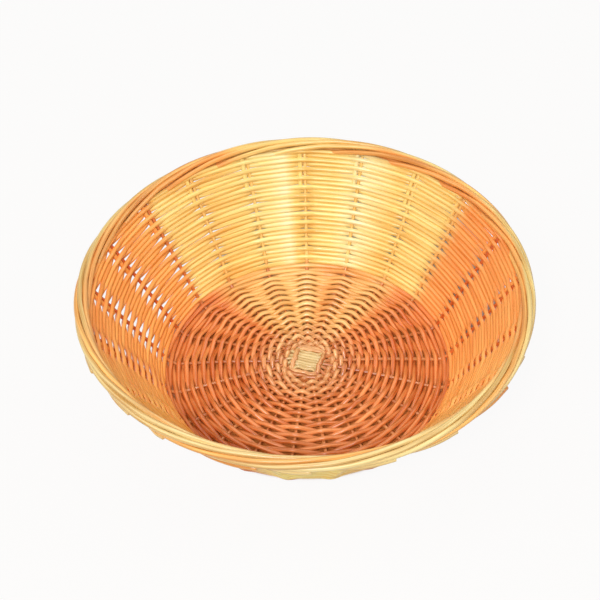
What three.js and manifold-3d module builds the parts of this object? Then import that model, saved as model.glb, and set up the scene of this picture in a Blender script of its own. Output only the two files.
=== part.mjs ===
// A round, flared bread basket, hand woven from round plastic cane.
//
// Eleven long canes cross at the middle of the base, seven lying over four. Their ends fan out over
// a slightly domed base, turn up at the corner and stand in the wall as 21 stakes, an odd number, so
// that one weaver can go on round over one stake and under the next. One end is cut short in the
// base, because eleven canes have 22 ends. Another 21 canes are pushed down into the wall, each
// beside its stake. At the top each one bends over to the right and rolls round its neighbours for
// almost six stakes, and it is cut off on the outside: that roll of six canes is the border.
//
// The two woven solids are one closed sheet each, which swings in and out round the stakes row by
// row as the weaver does, with a tunnel for each cane that runs in them. Lengths are in millimetres
// and angles in degrees. +Z is up, and the basket stands on z = 0 with its axis on the origin.
import * as THREE from "three";
import { mergeVertices } from "three/addons/utils/BufferGeometryUtils.js";
import Module from "manifold-3d";

const wasm = await Module();
wasm.setup();

// Overall sizes
const RIM_DIAMETER = 246; // over the rolled border, without the tails on its outside
const HEIGHT = 70; // from the table to the top of the border
const BASE_DIAMETER = 154; // where the lines of the wall and the base meet
const DOME_RISE = 6; // how far the middle of the base is pushed up
const CORNER_LENGTH = 6; // along the base and the wall, from their meeting point

// Canes and weave
const STAKE_DIAMETER = 2.1;
const WEAVER_DIAMETER = 2.4;
const BORDER_DIAMETER = 2.5;
const CLEARANCE = 0.3; // round a cane in its tunnel, and between the two woven solids
const NEIGHBOUR_GAP = 0.4; // between canes that lie side by side
const STAKE_COUNT = 21;
const FIRST_STAKE_ANGLE = 20.9;
const FOOT_DEPTH = 0.8; // how much of the weave's underside is pressed flat
const FIRST_ROW_RADIUS = 21.15; // of the first row in relief, beyond the fan of the canes
const BASE_ROWS = 20;
const BASE_ROW_PITCH = 2.42; // from row to row
const FIRST_WALL_ROW = 2.7; // from the corner's end up the wall
const WALL_ROWS = 22;
const WALL_ROW_PITCH = 2.64;
const SWING_REACH = 4.5; // how far beside a stake the weaver still swings round it
const BESIDE_SHARE = 0.28; // of the way to the next stake, where the weaver runs straight again
const COVER = 0.35; // the least material over a tunnel
const COVER_FALL = 0.65; // how steeply that cover falls off beside a tunnel

// The cross of canes at the middle of the base
const CROSS_ANGLE = -16; // direction of the canes that lie on top
const OVER_COUNT = 7;
const UNDER_COUNT = 4;
const FIRST_OVER_STAKE = -5; // the stake that the first cane on top becomes, at its right-hand end
const CROSS_MARGIN = 1; // how far a cane runs straight on beyond the canes that it crosses
const FAN_STAGGER = 3.5; // how much later the middle canes bend than the outermost ones
const EYE_MARGIN = 2.5; // from the cross to the edge of the hole that the base weave leaves round it
const FAN_LENGTH = 8; // from that hole's edge to where every cane has reached its own radius
const SPARE_END_LENGTH = 2; // how far the spare end reaches beyond its last crossing

// The border
const ROLL_CANES = 6; // canes side by side round the roll, and stakes to one turn
const TUCK_SHARE = 0.25; // how much of the wall's height a border cane is pushed down
const LEAVE_ROLL_AT = 4.8; // in stakes from its own: where a cane's tail leaves the roll
const TAIL_UNDER_AT = 5.5; // where it passes out under the roll, between two stakes
const TAIL_OUTSIDE_AT = 6.1;
const TAIL_END_AT = 6.8; // where it is cut off
const TAIL_TURN = 30; // how far round the roll it turns on its way to and from the under side
const TAIL_OUTSIDE_ANGLE = 55; // how far round from under the roll it has climbed outside
const TAIL_END_ANGLE = 80;

// Faces
const CANE_SIDES = 6;
const ROLL_STATIONS = 2; // cross-sections from one stake to the next, along the roll
const CORNER_STATIONS = 2;

const CANE_COLOUR = 0xe9a862;
const WEAVE_COLOUR = 0xe59a54;
const BORDER_COLOUR = 0xefcd86;

const radians = THREE.MathUtils.degToRad;
const stakeRadius = STAKE_DIAMETER / 2;
const borderRadius = BORDER_DIAMETER / 2;
const crossSpacing = STAKE_DIAMETER + NEIGHBOUR_GAP;
const rollSpacing = BORDER_DIAMETER + NEIGHBOUR_GAP;
const stakeAngle = (index) => radians(FIRST_STAKE_ANGLE + (360 / STAKE_COUNT) * index);
const stakeStep = (2 * Math.PI) / STAKE_COUNT;

// Half the weave's thickness over a stake, and between two stakes where only the weaver is left.
const weaveHalf = stakeRadius + WEAVER_DIAMETER;
const valleyHalf = WEAVER_DIAMETER / 2;

// The roll's canes lie on a circle where neighbours are just clear of each other.
const rollRadius = rollSpacing / (2 * Math.sin(Math.PI / ROLL_CANES));
const tailRadius = rollRadius + rollSpacing;
const rollCentre = new THREE.Vector2(
  RIM_DIAMETER / 2 - rollRadius - borderRadius,
  HEIGHT - rollRadius - borderRadius,
);

// The middle surface of the weave, as a profile of radius and height: a dome, a rounded corner that
// bends from it, and a straight wall that leans towards the middle of the roll.
const domeSlope = (radius) => (-2 * DOME_RISE * radius) / (BASE_DIAMETER / 2) ** 2;

function cornerAt(edgeHeight) {
  const edge = new THREE.Vector2(BASE_DIAMETER / 2, edgeHeight);
  const onDome = new THREE.Vector2(1, domeSlope(edge.x)).normalize();
  const onWall = rollCentre.clone().sub(edge).normalize();
  return new THREE.QuadraticBezierCurve(
    edge.clone().addScaledVector(onDome, -CORNER_LENGTH),
    edge,
    edge.clone().addScaledVector(onWall, CORNER_LENGTH),
  );
}

const cornerShares = Array.from({ length: CORNER_STATIONS + 1 }, (_, i) => i / CORNER_STATIONS);
const footHeights = cornerShares.map((share) => {
  const trial = cornerAt(weaveHalf);
  return trial.getPoint(share).y - weaveHalf * trial.getTangent(share).x;
});
const corner = cornerAt(weaveHalf - Math.min(...footHeights) - FOOT_DEPTH);
const cornerPoints = cornerShares.map((share) => corner.getPoint(share));
const [cornerStart, baseEdge, cornerEnd] = [corner.v0, corner.v1, corner.v2];
const upWall = rollCentre.clone().sub(baseEdge).normalize();
const domeHeight = (radius) =>
  cornerStart.y + (DOME_RISE * (cornerStart.x ** 2 - radius ** 2)) / baseEdge.x ** 2;
const belowRoll = (distance) => rollCentre.clone().addScaledVector(upWall, -distance);

// How far the stakes, the weave and the ends of the border canes lie below the middle of the roll
const stakeTop = rollRadius + borderRadius + NEIGHBOUR_GAP;
const weaveTop = tailRadius + borderRadius + CLEARANCE;
const tuckDepth = weaveTop + TUCK_SHARE * cornerEnd.distanceTo(rollCentre);

// The cross
const crossWidth = (count) => ((count - 1) * crossSpacing + STAKE_DIAMETER) / 2;
const eyeRadius = crossWidth(Math.max(OVER_COUNT, UNDER_COUNT)) + EYE_MARGIN;
const fanRadius = eyeRadius + FAN_LENGTH;

// A point of the profile, turned to an angle about the basket's axis and moved sideways along the rim.
function turned(profile, angle, sideways = 0) {
  return new THREE.Vector3(
    profile.x * Math.cos(angle) - sideways * Math.sin(angle),
    profile.x * Math.sin(angle) + sideways * Math.cos(angle),
    profile.y,
  );
}

// A smooth curve whose cross-sections are taken at its own points, so that straights need few.
class StationCurve extends THREE.CatmullRomCurve3 {
  getPointAt(share, target) {
    return this.getPoint(share, target);
  }
  getTangentAt(share, target) {
    return this.getTangent(share, target);
  }
}

function caneGeometry(points, radius) {
  const ring = [];
  for (let side = 0; side < CANE_SIDES; side++) {
    const angle = (2 * Math.PI * side) / CANE_SIDES;
    ring.push(new THREE.Vector2(radius * Math.cos(angle), radius * Math.sin(angle)));
  }
  return new THREE.ExtrudeGeometry(new THREE.Shape(ring), {
    steps: points.length - 1,
    extrudePath: new StationCurve(points),
    bevelEnabled: false,
  });
}

// Solids for joining and cutting
function toSolid(geometry) {
  const bare = geometry.clone();
  bare.deleteAttribute("normal");
  bare.deleteAttribute("uv");
  const merged = mergeVertices(bare, 1e-4);
  return new wasm.Manifold(
    new wasm.Mesh({
      numProp: 3,
      vertProperties: new Float32Array(merged.attributes.position.array),
      triVerts: new Uint32Array(merged.index.array),
    }),
  );
}

function toGeometry(solid) {
  const mesh = solid.getMesh();
  const geometry = new THREE.BufferGeometry();
  geometry.setAttribute("position", new THREE.BufferAttribute(mesh.vertProperties, 3));
  geometry.setIndex(new THREE.BufferAttribute(mesh.triVerts, 1));
  geometry.computeVertexNormals();
  return geometry;
}

// The long canes of the base and the wall

const domeRadii = [fanRadius, (fanRadius + cornerStart.x) / 2];

// From the corner to the top of the wall, and from the fan over the domed base, at one stake's angle.
function stakePoints(index) {
  const angle = stakeAngle(index);
  const profile = [
    ...domeRadii.map((radius) => new THREE.Vector2(radius, domeHeight(radius))),
    ...cornerPoints,
    belowRoll(tuckDepth),
    belowRoll(stakeTop),
  ];
  return profile.map((point) => turned(point, angle));
}

// A cane of the cross: straight where it crosses the others, then out to a stake at each end. The
// outermost canes bend first. A missing stake index leaves that end cut short in the base.
function crossCane(direction, offset, level, counts, stakes) {
  const along = new THREE.Vector3(Math.cos(direction), Math.sin(direction), 0);
  const across = new THREE.Vector3(-along.y, along.x, 0);
  const middle = across.clone().multiplyScalar(offset);
  middle.z = domeHeight(0) + level;
  const straight = (distance) => middle.clone().addScaledVector(along, distance);
  const outermost = ((counts.own - 1) / 2) * crossSpacing;
  const stagger = FAN_STAGGER * (1 - Math.abs(offset) / outermost);
  const lastCrossing = crossWidth(counts.crossed) + CROSS_MARGIN;
  const bend = lastCrossing + stagger;
  const near =
    stakes.near === undefined
      ? [straight(lastCrossing + SPARE_END_LENGTH)]
      : stakePoints(stakes.near).reverse();
  return [...near, straight(bend), straight(-bend), ...stakePoints(stakes.far)];
}

const crossLevel = (STAKE_DIAMETER + CLEARANCE) / 2;
const crossDirection = radians(CROSS_ANGLE);

// The canes on top run to the right and the left, those below run away from and towards the viewer.
const stakeCanes = [];
for (let cane = 0; cane < OVER_COUNT; cane++) {
  const offset = (cane - (OVER_COUNT - 1) / 2) * crossSpacing;
  const counts = { own: OVER_COUNT, crossed: UNDER_COUNT };
  stakeCanes.push(
    crossCane(crossDirection, offset, crossLevel, counts, {
      near: FIRST_OVER_STAKE + cane,
      far: FIRST_OVER_STAKE + 2 * OVER_COUNT + UNDER_COUNT - 1 - cane,
    }),
  );
}
for (let cane = 0; cane < UNDER_COUNT; cane++) {
  const offset = (cane - (UNDER_COUNT - 1) / 2) * crossSpacing;
  const counts = { own: UNDER_COUNT, crossed: OVER_COUNT };
  const hasBothEnds = cane < UNDER_COUNT - 1;
  stakeCanes.push(
    crossCane(crossDirection - Math.PI / 2, -offset, -crossLevel, counts, {
      near: hasBothEnds ? FIRST_OVER_STAKE - 1 - cane : undefined,
      far: FIRST_OVER_STAKE + OVER_COUNT + cane,
    }),
  );
}

// The border canes

// Places a point round the roll, by its distance from the roll's middle and its angle round it,
// counted from the wall outwards over the top. Along says how many stakes from the first.
function roundRoll(distance, angle, along) {
  const fromWall = upWall.angle() - Math.PI + angle;
  const profile = new THREE.Vector2(
    rollCentre.x + distance * Math.cos(fromWall),
    rollCentre.y + distance * Math.sin(fromWall),
  );
  return turned(profile, radians(FIRST_STAKE_ANGLE) + stakeStep * along);
}

function borderCanePoints(index) {
  const angle = stakeAngle(index);
  const besideStake = stakeRadius + borderRadius + NEIGHBOUR_GAP;
  const points = [
    turned(belowRoll(tuckDepth), angle, besideStake),
    turned(belowRoll(weaveTop), angle, besideStake),
    turned(belowRoll(rollRadius + borderRadius), angle, besideStake),
    turned(belowRoll(rollRadius + 0.2 * borderRadius), angle, besideStake + 0.6 * borderRadius),
  ];
  const turn = (2 * Math.PI) / ROLL_CANES;
  const stations = Math.round(LEAVE_ROLL_AT * ROLL_STATIONS);
  for (let station = 1; station <= stations; station++) {
    const along = station / ROLL_STATIONS;
    points.push(roundRoll(rollRadius, turn * along, index + along));
  }
  const under = 2 * Math.PI;
  const tailTurn = radians(TAIL_TURN);
  points.push(
    roundRoll(tailRadius, under - tailTurn, index + (LEAVE_ROLL_AT + TAIL_UNDER_AT) / 2),
    roundRoll(tailRadius, under, index + TAIL_UNDER_AT),
    roundRoll(tailRadius, under + tailTurn, index + (TAIL_UNDER_AT + TAIL_OUTSIDE_AT) / 2),
    roundRoll(tailRadius, under + radians(TAIL_OUTSIDE_ANGLE), index + TAIL_OUTSIDE_AT),
    roundRoll(tailRadius, under + radians(TAIL_END_ANGLE), index + TAIL_END_AT),
  );
  return points;
}

// The woven solids

// The columns of points in the woven solids: one at each stake, and one on either side of it where
// the weaver runs straight again. Turn says how far round from between the last stake and the first.
const columns = Array.from({ length: STAKE_COUNT }, (_, stake) =>
  [-BESIDE_SHARE, 0, BESIDE_SHARE].map((beside) => ({
    stake,
    beside,
    angle: stakeAngle(stake + beside),
    turn: (stake + beside + 0.5) / STAKE_COUNT,
  })),
).flat();

// How far a skin lies from the middle surface, towards the inside. A row passes inside every second
// stake and outside the others, and the next row does the reverse. A station without a row is
// thick on both sides. The side is 1 for the skin inside the basket and -1 for the one outside.
function skinOffset(station, column, radius, side) {
  const distance = Math.abs(column.beside) * stakeStep * radius;
  const swing = (weaveHalf - valleyHalf) * Math.exp(-((distance / SWING_REACH) ** 2));
  if (station.row === undefined) return side * (valleyHalf + swing);
  const passesInside = (station.row + column.stake) % 2 === 0;
  const skin = side * valleyHalf + (passesInside ? swing : -swing);
  return side * Math.max(side * skin, station.cover - COVER_FALL * distance);
}

// A closed sheet through the stations, all the way round. Each station's place is a point of the
// profile and the direction in which the profile leaves it, and in a row it climbs with the turn,
// because the rows are one spiral.
function wovenShell(stations) {
  const positions = [];
  const faces = [];
  const loop = 2 * stations.length;
  columns.forEach((column, index) => {
    for (let place = 0; place < loop; place++) {
      const side = place < stations.length ? 1 : -1;
      const station = stations[side === 1 ? place : loop - 1 - place];
      const { point, along } = station.at(column.turn);
      const normal = new THREE.Vector2(-along.y, along.x);
      const offset = skinOffset(station, column, point.x, side);
      const skin = point.clone().addScaledVector(normal, offset);
      positions.push(...turned(skin, column.angle).toArray());
      const next = (index + 1) % columns.length;
      const here = index * loop + place;
      const beside = index * loop + ((place + 1) % loop);
      const across = next * loop + place;
      const diagonal = next * loop + ((place + 1) % loop);
      faces.push(here, beside, diagonal, here, diagonal, across);
    }
  });
  const geometry = new THREE.BufferGeometry();
  geometry.setAttribute("position", new THREE.Float32BufferAttribute(positions, 3));
  geometry.setIndex(faces);
  return toSolid(geometry);
}

const domeAt = (radius) => ({
  point: new THREE.Vector2(radius, domeHeight(radius)),
  along: new THREE.Vector2(1, domeSlope(radius)).normalize(),
});
const wallAt = (distance) => ({
  point: cornerEnd.clone().addScaledVector(upWall, distance),
  along: upWall,
});
const plain = (place) => ({ at: () => place });
const wallLength = cornerEnd.distanceTo(rollCentre);

// A stake's tunnel needs less cover than the border cane that is tucked in beside it.
const stakeCover = stakeRadius + CLEARANCE + COVER;
const tuckedCover = borderRadius + CLEARANCE + 2 * COVER;
const baseRows = Array.from({ length: BASE_ROWS }, (_, row) => ({
  row,
  cover: stakeCover,
  at: (turn) => domeAt(FIRST_ROW_RADIUS + BASE_ROW_PITCH * (row + turn)),
}));
const wallRows = Array.from({ length: WALL_ROWS }, (_, row) => {
  const rowEnd = FIRST_WALL_ROW + WALL_ROW_PITCH * (row + 2);
  return {
    row,
    cover: rowEnd < wallLength - tuckDepth ? stakeCover : tuckedCover,
    at: (turn) => wallAt(FIRST_WALL_ROW + WALL_ROW_PITCH * (row + turn)),
  };
});

// A cane's tunnel is wider than the cane and goes on beyond its ends.
function tunnel(points, radius) {
  const lengthened = (end, beside) =>
    end.clone().add(end.clone().sub(beside).setLength(CLEARANCE));
  const route = [
    lengthened(points[0], points[1]),
    ...points.slice(1, -1),
    lengthened(points.at(-1), points.at(-2)),
  ];
  return toSolid(caneGeometry(route, radius + CLEARANCE));
}

const borderCanes = Array.from({ length: STAKE_COUNT }, (_, index) => borderCanePoints(index));
const tunnels = wasm.Manifold.union([
  ...stakeCanes.map((points) => tunnel(points, stakeRadius)),
  ...borderCanes.map((points) => tunnel(points, borderRadius)),
]);

const table = new THREE.BoxGeometry(RIM_DIAMETER, RIM_DIAMETER, HEIGHT);
table.translate(0, 0, -HEIGHT / 2);

const baseShell = wovenShell([
  plain(domeAt(eyeRadius)),
  plain(domeAt(fanRadius)),
  ...baseRows,
  ...cornerShares.map((share) =>
    plain({ point: corner.getPoint(share), along: corner.getTangent(share) }),
  ),
]);
const wallShell = wovenShell([
  plain(wallAt(CLEARANCE)),
  ...wallRows,
  plain(wallAt(wallLength - weaveTop)),
]);
const baseWeave = baseShell.subtract(tunnels).subtract(toSolid(table));
const wallWeave = wallShell.subtract(tunnels);

// The basket
const basket = new THREE.Group();

function addPiece(name, geometry, colour, roughness) {
  const material = new THREE.MeshStandardMaterial({ color: colour, roughness, metalness: 0 });
  const piece = new THREE.Mesh(geometry, material);
  piece.name = name;
  basket.add(piece);
}

const twoDigits = (number) => String(number).padStart(2, "0");
stakeCanes.forEach((points, index) => {
  const name = `stake_cane_${twoDigits(index + 1)}`;
  addPiece(name, caneGeometry(points, stakeRadius), CANE_COLOUR, 0.45);
});
borderCanes.forEach((points, index) => {
  const name = `border_cane_${twoDigits(index + 1)}`;
  addPiece(name, caneGeometry(points, borderRadius), BORDER_COLOUR, 0.4);
});
addPiece("base_weave", toGeometry(baseWeave), WEAVE_COLOUR, 0.45);
addPiece("wall_weave", toGeometry(wallWeave), WEAVE_COLOUR, 0.45);

export default basket;
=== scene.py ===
# %% [markdown]
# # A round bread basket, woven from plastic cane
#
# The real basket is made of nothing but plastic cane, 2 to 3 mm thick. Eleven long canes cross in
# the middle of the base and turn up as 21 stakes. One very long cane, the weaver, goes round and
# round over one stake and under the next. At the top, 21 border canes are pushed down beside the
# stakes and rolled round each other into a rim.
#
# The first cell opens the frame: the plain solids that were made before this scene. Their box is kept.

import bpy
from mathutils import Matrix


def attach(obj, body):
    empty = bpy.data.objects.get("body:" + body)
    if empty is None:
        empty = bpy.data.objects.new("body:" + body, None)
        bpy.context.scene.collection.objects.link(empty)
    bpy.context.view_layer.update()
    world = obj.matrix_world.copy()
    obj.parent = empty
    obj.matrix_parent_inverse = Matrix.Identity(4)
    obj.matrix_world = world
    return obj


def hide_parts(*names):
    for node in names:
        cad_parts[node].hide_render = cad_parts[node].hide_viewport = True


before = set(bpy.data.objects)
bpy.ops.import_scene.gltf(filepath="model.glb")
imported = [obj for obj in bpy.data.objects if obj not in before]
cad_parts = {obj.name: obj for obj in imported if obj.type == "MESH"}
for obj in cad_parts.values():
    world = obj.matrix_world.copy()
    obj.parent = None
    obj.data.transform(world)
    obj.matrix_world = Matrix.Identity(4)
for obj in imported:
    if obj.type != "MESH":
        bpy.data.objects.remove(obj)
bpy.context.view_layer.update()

# %% [markdown]
# ## The line that everything follows
#
# Cut the basket through its axis, and the middle of the weave is one line: a shallow dome, a round
# corner and a straight leaning wall that points at the middle of the rolled rim. Every cane can be
# placed by three numbers: how far along this line, at which angle round the basket, and how far
# it stands proud of the line towards the inside. Working in these numbers keeps the maths of the
# weave as simple as that of a flat strip. The canes are worked out in millimetres. Meshes, fields,
# lamps and camera are in metres, as Blender has them.

# %% The middle line of the weave
import math

import bpy
import numpy as np
from mathutils import Matrix, Vector

DOME_END = np.array([71.07, 2.61])  # radius and height
BASE_EDGE = np.array([77.0, 1.685])
WALL_START = np.array([80.28, 6.71])
ROLL_MIDDLE = np.array([118.85, 65.85])
DOME_RISE = 6.0
DOME_POINTS, CORNER_POINTS, WALL_POINTS = 90, 25, 60


def middle_line():
    """Radius and height of points along the dome, the corner and the wall."""
    radius = np.linspace(0, DOME_END[0], DOME_POINTS)
    height = DOME_END[1] + DOME_RISE * (DOME_END[0] ** 2 - radius**2) / BASE_EDGE[0] ** 2
    share = np.linspace(0, 1, CORNER_POINTS)[1:, None]
    corner = (1 - share) ** 2 * DOME_END + 2 * share * (1 - share) * BASE_EDGE + share**2 * WALL_START
    wall = WALL_START + np.linspace(0, 1, WALL_POINTS)[1:, None] * (ROLL_MIDDLE - WALL_START)
    return np.vstack([np.column_stack([radius, height]), corner, wall])


LINE = middle_line()
LINE_LENGTH = np.concatenate([[0], np.cumsum(np.hypot(*np.diff(LINE, axis=0).T))])
LINE_SLOPE = np.gradient(LINE, LINE_LENGTH, axis=0)
ROLL_AT = LINE_LENGTH[-1]
CORNER_AT = np.interp(WALL_START[0], LINE[:, 0], LINE_LENGTH)
print("from the middle to the corner", round(CORNER_AT, 1), "mm, to the rim", round(ROLL_AT, 1), "mm")

# %% [markdown]
# ## Where the hand shows
#
# No hand-woven basket is a perfect circle. This one is pulled outwards a little on its left side
# and at the front right. The stretch grows with the square of the height, so that the base keeps
# its place. A scaled or bent mesh could do this too, but here the points themselves are moved
# before any mesh is made, so that the canes keep their thickness.

# %% Place a point on the basket
STAKE_COUNT = 21
STAKE_STEP = 2 * math.pi / STAKE_COUNT
FIRST_STAKE = math.radians(20.9)
BULGES = [(math.radians(183), 0.45, 2.3), (math.radians(-52), 0.4, 1.4)]  # angle, spread, size
FULL_BULGE_AT = 70  # the height at which a bulge has grown to its size


def signed(angle):
    """The same direction as an angle between minus and plus half a turn."""
    return np.angle(np.exp(1j * angle))


def stretch(angle, height):
    """How far the basket bulges out of round at an angle and a height."""
    grown = np.zeros_like(angle)
    for middle, spread, size in BULGES:
        off = signed(angle - middle)
        grown = grown + size * np.exp(-((off / spread) ** 2) / 2)
    return grown * np.clip(height / FULL_BULGE_AT, 0, 1) ** 2


def round_the_axis(radius, height, angle, sideways=0.0):
    radius = radius + stretch(angle, height)
    return np.column_stack([
        radius * np.cos(angle) - sideways * np.sin(angle),
        radius * np.sin(angle) + sideways * np.cos(angle),
        height,
    ])


def at_length(length, table):
    return (np.interp(length, LINE_LENGTH, table[:, i]) for i in (0, 1))


def on_the_weave(length, angle, proud, sideways=0.0):
    """Points from their place along the middle line, their angle, and how far inwards they stand."""
    length, angle, proud, sideways = np.broadcast_arrays(length, angle, proud, sideways)
    radius, height = at_length(length, LINE)
    along_r, along_z = at_length(length, LINE_SLOPE)
    return round_the_axis(radius - proud * along_z, height + proud * along_r, angle, sideways)


def inward(length, angle):
    """The direction square to the weave, towards the inside."""
    along_r, along_z = at_length(length, LINE_SLOPE)
    return np.column_stack([-along_z * np.cos(angle), -along_z * np.sin(angle), along_r])


print("stakes every", round(math.degrees(STAKE_STEP), 2), "degrees")

# %% [markdown]
# ## A smooth course
#
# Stiff cane takes no sharp turns. So its course is given by a few points that it has to pass, and
# a soft curve is laid through them. A path of Blender's own could be used for that, but the curve
# is a short formula, and in code its points can be measured as well.

# %% Lay a curve through points
MM = 0.001


def smooth_path(anchors, steps):
    """A soft curve (Catmull-Rom) through all anchors, with so many steps from each to the next."""
    anchors = np.asarray(anchors, dtype=float)
    padded = np.vstack([2 * anchors[0] - anchors[1], anchors, 2 * anchors[-1] - anchors[-2]])
    share = np.arange(steps)[:, None] / steps
    curve = []
    for before, start, end, after in zip(padded, padded[1:], padded[2:], padded[3:]):
        curve.append(
            start + 0.5 * share * (end - before)
            + share**2 * (before - 2.5 * start + 2 * end - 0.5 * after)
            + share**3 * (-0.5 * before + 1.5 * start - 1.5 * end + 0.5 * after)
        )
    return np.vstack([*curve, anchors[-1:]])


def metres_of(path):
    return np.linalg.norm(np.diff(path, axis=0), axis=1).sum() * MM


trial = smooth_path([(0, 0, 0), (0, 10, 0), (5, 18, 0)], 4)
print("a short bent course of", len(trial), "points is", round(metres_of(trial), 4), "m long")

# %% [markdown]
# ## One cane
#
# A cane is a round rod that follows a path. Blender's curve objects can do that with a bevel, but a
# mesh made in code gives every cane its own cross-section, blunt cut ends, and a UV map that runs
# along it, which the plastic's fine lengthwise lines need later. The cross-sections are carried
# along the path without twist: each one is the one before it, tilted by no more than the path
# bends there.

# %% Build the shell of a cane
CUT_BEVEL = 0.12  # how much of its thickness a cut end is rounded
CUT_SIZE = 1 - 1.6 * CUT_BEVEL  # share of its width that is left at the cut itself
PATTERN_LENGTH = 100  # mm of cane to one unit of its UV map
ASKEW = [0.31, 0.17, 0.94]  # a direction in which no cane sets out


def untwisted(path, runs):
    """For each point of a path, a direction square to it that turns no more than the path does."""
    facing = np.zeros_like(path)
    start = np.cross(runs[0], ASKEW)
    facing[0] = start / np.linalg.norm(start)
    for i in range(1, len(path)):
        kept = facing[i - 1] - runs[i] * np.dot(facing[i - 1], runs[i])
        facing[i] = kept / np.linalg.norm(kept)
    return facing


def wrapped(path, sides, pattern):
    """The faces between the rings of a cane, and their UVs: round the cane, and along it."""
    steps = np.linalg.norm(np.diff(path, axis=0), axis=1)
    travelled = (pattern + np.concatenate([[0], np.cumsum(steps)])) / PATTERN_LENGTH
    rows = np.arange(len(path) - 1)[:, None] * sides
    here = np.arange(sides)[None]
    after = (here + 1) % sides
    faces = np.stack([rows + here, rows + sides + here, rows + sides + after, rows + after], axis=-1)
    around = np.stack([here, here, here + 1, here + 1], axis=-1) / sides
    along = np.stack([travelled[:-1], travelled[1:], travelled[1:], travelled[:-1]], axis=-1)[:, None]
    return faces, np.stack(np.broadcast_arrays(around, along), axis=-1)


def cane_shell(path, wide, thick, facing=None, sides=8, pattern=0.0):
    """Points, faces and UVs of one cane. Wide and thick are its half sizes, thick towards facing, and
    pattern says where in the plastic's pattern it starts, so that no two canes look the same."""
    runs = np.gradient(path, axis=0)
    runs /= np.linalg.norm(runs, axis=1, keepdims=True)
    if facing is None:
        facing = untwisted(path, runs)
    beside = np.cross(runs, facing)
    beside /= np.linalg.norm(beside, axis=1, keepdims=True)
    facing = np.cross(beside, runs)
    bevel = CUT_BEVEL * 2 * thick
    path = np.vstack([path[:1] - runs[:1] * bevel, path, path[-1:] + runs[-1:] * bevel])
    beside, facing = (np.vstack([a[:1], a, a[-1:]]) for a in (beside, facing))
    size = np.ones(len(path))
    size[[0, -1]] = CUT_SIZE
    turn = 2 * math.pi * np.arange(sides) / sides
    across = wide * np.cos(turn)[None, :, None] * beside[:, None]
    through = thick * np.sin(turn)[None, :, None] * facing[:, None]
    points = path[:, None] + (across + through) * size[:, None, None]
    faces, uvs = wrapped(path, sides, pattern)
    return points.reshape(-1, 3), faces.reshape(-1, 4), uvs.reshape(-1, 2)


print("a cane on that course has", len(cane_shell(trial, 1.0, 1.0)[1]), "faces")

# %% [markdown]
# ## A named piece
#
# Each real cane becomes one mesh object with a name of its own. It rides on the basket's body (this
# basket is one rigid body, called root), and the plain solid that it replaces is hidden. Shade smooth
# makes the sides look round, and a sharp edge is kept where a cane is cut off.

# %% Make a piece out of shells
SHARP_EDGE = math.radians(50)  # edges that bend more than this are not smoothed


def put_in_scene(name, data):
    thing = bpy.data.objects.new(name, data)
    bpy.context.scene.collection.objects.link(thing)
    return thing


def make_piece(name, shells, plastics, slot, *solids):
    """Joins shells into one mesh object, each in its own plastic, closes the cut ends, puts the piece on
    the basket's body and hides the solids it replaces."""
    points, faces, uvs, first, kinds = [], [], [], 0, []
    for kind, (shell_points, shell_faces, shell_uvs) in enumerate(shells):
        sides = int(shell_faces[0][1] - shell_faces[0][0])
        count = len(shell_points)
        points.append(shell_points * MM)
        faces += (shell_faces + first).tolist()
        faces.append(list(range(first, first + sides)))
        faces.append(list(range(first + count - 1, first + count - 1 - sides, -1)))
        uvs += [shell_uvs, np.zeros((2 * sides, 2))]
        kinds += [kind] * (len(shell_faces) + 2)
        first += count
    mesh = bpy.data.meshes.new(name)
    mesh.from_pydata(np.vstack(points).tolist(), [], faces)
    mesh.uv_layers.new(name="along_the_cane").data.foreach_set("uv", np.vstack(uvs).ravel())
    mesh.polygons.foreach_set("use_smooth", [True] * len(mesh.polygons))
    mesh.set_sharp_from_angle(angle=SHARP_EDGE)
    for plastic in plastics:
        mesh.materials.append(plastic)
    mesh.polygons.foreach_set("material_index", kinds)
    piece = put_in_scene(name, mesh)
    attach(piece, "root")
    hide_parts(*solids)


print("edges over", round(math.degrees(SHARP_EDGE)), "degrees stay sharp")

# %% [markdown]
# ## Small helpers for materials
#
# A material in Blender is a graph of nodes. Most lines that build one say the same two things: make
# a node, and give each of its inputs either a value or another node's output. One helper does both,
# and four more stand on it: for sums, for a value stretched to another range, for a blend of two
# colours and for a ramp of colours. They work for the room's nodes too.

# %% Helpers for nodes
def add_node(owner, kind, inputs=None, **settings):
    """A new node of a material or a world. An input is a value or the output of another node."""
    node = owner.node_tree.nodes.new(kind)
    for key, value in settings.items():
        setattr(node, key, value)
    for socket, source in (inputs or {}).items():
        if isinstance(source, bpy.types.NodeSocket):
            owner.node_tree.links.new(source, node.inputs[socket])
        else:
            node.inputs[socket].default_value = source
    return node


def combined(owner, operation, first, second):
    return add_node(owner, "ShaderNodeMath", {0: first, 1: second}, operation=operation).outputs[0]


def stretched(owner, source, start, end, low=0.0, high=1.0, **settings):
    """Low up to where the source is at the start, and high from where it is at the end."""
    limits = {"From Min": start, "From Max": end, "To Min": low, "To Max": high}
    step = add_node(owner, "ShaderNodeMapRange", {"Value": source, **limits}, **settings)
    return step.outputs["Result"]


def blend(owner, share, below, above):
    mix = add_node(owner, "ShaderNodeMix", {0: share, 6: below, 7: above}, data_type="RGBA")
    return mix.outputs[2]


def ramp_of(owner, driver, stops):
    """Colours that follow the driver, with a stop at each (position, colour) pair."""
    ramp = add_node(owner, "ShaderNodeValToRGB", {"Fac": driver})
    elements = ramp.color_ramp.elements
    while len(elements) < len(stops):
        elements.new(0.5)
    for element, (position, colour) in zip(elements, stops):
        element.position, element.color = position, colour
    return ramp.outputs["Color"]


def tone(red, green, blue):
    """A tone as it would be picked on a screen, from 0 to 255, turned into Blender's linear colour."""
    return tuple(((c / 255 + 0.055) / 1.055) ** 2.4 for c in (red, green, blue)) + (1.0,)


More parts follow.
